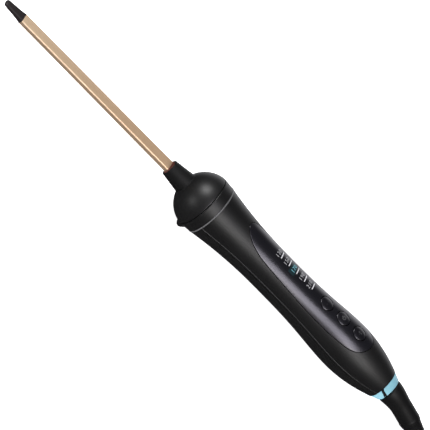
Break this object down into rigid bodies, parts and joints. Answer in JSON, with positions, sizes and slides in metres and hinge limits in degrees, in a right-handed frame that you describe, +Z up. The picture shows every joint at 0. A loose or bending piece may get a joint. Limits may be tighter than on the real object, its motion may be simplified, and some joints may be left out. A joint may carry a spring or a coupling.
{
  "type": "curling iron",
  "caption": "Slim chopstick curling wand with a flat rectangular barrel, domed guard, rest foot, waisted handle with a flush control panel, and a swivelling mains cord.",
  "frame": {"origin": "on the table, below the middle of the iron's length without its cord", "axes": "+X along the iron from the cool tip to the cord, +Z up, the panel faces up, and the handle's axis leans 2.68 degrees nose-up"},
  "size_m": [0.6057, 0.056, 0.0445],
  "materials": {
    "tip": "satin heat-resistant plastic",
    "barrel": "satin ceramic coating, rose gold",
    "ceramic": "bare ceramic",
    "spreader": "bare aluminium",
    "bead": "epoxy",
    "seal": "silicone",
    "guard": "fine matt texture",
    "holder": "moulded",
    "screw": "zinc plated",
    "lead_red": "silicone wire",
    "lead_white": "wire sleeve",
    "lead_blue": "wire insulation",
    "trim": "bright",
    "shell": "fine matt texture",
    "panel": "high gloss",
    "guide": "frosted light guide",
    "button": "high gloss",
    "board": "solder mask",
    "part": "moulded epoxy",
    "film": "film capacitor",
    "ring": "satin light blue",
    "contact": "bare",
    "drum": "moulded",
    "lead": "matt rubber",
    "tie": "hook-and-loop strap",
    "plug": "moulded",
    "pin": "nickel plated"
  },
  "bodies": {
    "handle": {"cool_tip": "tip", "barrel_tube": "barrel", "heater_strip": "ceramic", "thermal_fuse": "ceramic", "board_fuse": "ceramic", "heat_spreaders": "spreader", "thermistor": "bead", "neck_seal": "seal", "neck_sleeve": "guard", "dome_guard": "guard", "rest_foot": "guard", "barrel_holder": "holder", "swivel_socket": "holder", "holder_screws": "screw", "shell_screws": "screw", "board_screws": "screw", "heater_leads": "lead_red", "sensor_leads": "lead_white", "supply_leads": "lead_blue", "trim_ring": "trim", "upper_shell": "shell", "lower_shell": "shell", "control_panel": "panel", "light_guide": "guide", "display_leds": "guide", "main_board": "board", "controller_chip": "part", "triac": "part", "tact_switches": "part", "capacitor": "film", "end_ring": "ring", "brush_contacts": "contact"},
    "minus_key": {"minus_button": "button"},
    "power_key": {"power_button": "button"},
    "plus_key": {"plus_button": "button"},
    "cord_end": {"swivel_drum": "drum", "contact_rings": "contact", "strain_relief": "lead", "cord_run": "lead", "cord_hank": "lead", "cord_tail": "lead", "cord_tie": "tie", "plug_body": "plug", "plug_pins": "pin", "pin_sleeves": "plug"}
  },
  "joints": [
    {"name": "minus_press", "type": "slide", "parent": "handle", "child": "minus_key", "axis": [-0.0467, 0, -0.9989], "range_m": [0, 0.0006], "stiffness_N_per_m": 700, "springref_m": -0.0004},
    {"name": "power_press", "type": "slide", "parent": "handle", "child": "power_key", "axis": [-0.0467, 0, -0.9989], "range_m": [0, 0.0006], "stiffness_N_per_m": 700, "springref_m": -0.0004},
    {"name": "plus_press", "type": "slide", "parent": "handle", "child": "plus_key", "axis": [-0.0467, 0, -0.9989], "range_m": [0, 0.0006], "stiffness_N_per_m": 700, "springref_m": -0.0004},
    {"name": "cord_swivel", "type": "hinge", "parent": "handle", "child": "cord_end", "pos_m": [0.18066, 0, 0.01604], "axis": [0.9989, 0, -0.0467], "continuous": true}
  ]
}
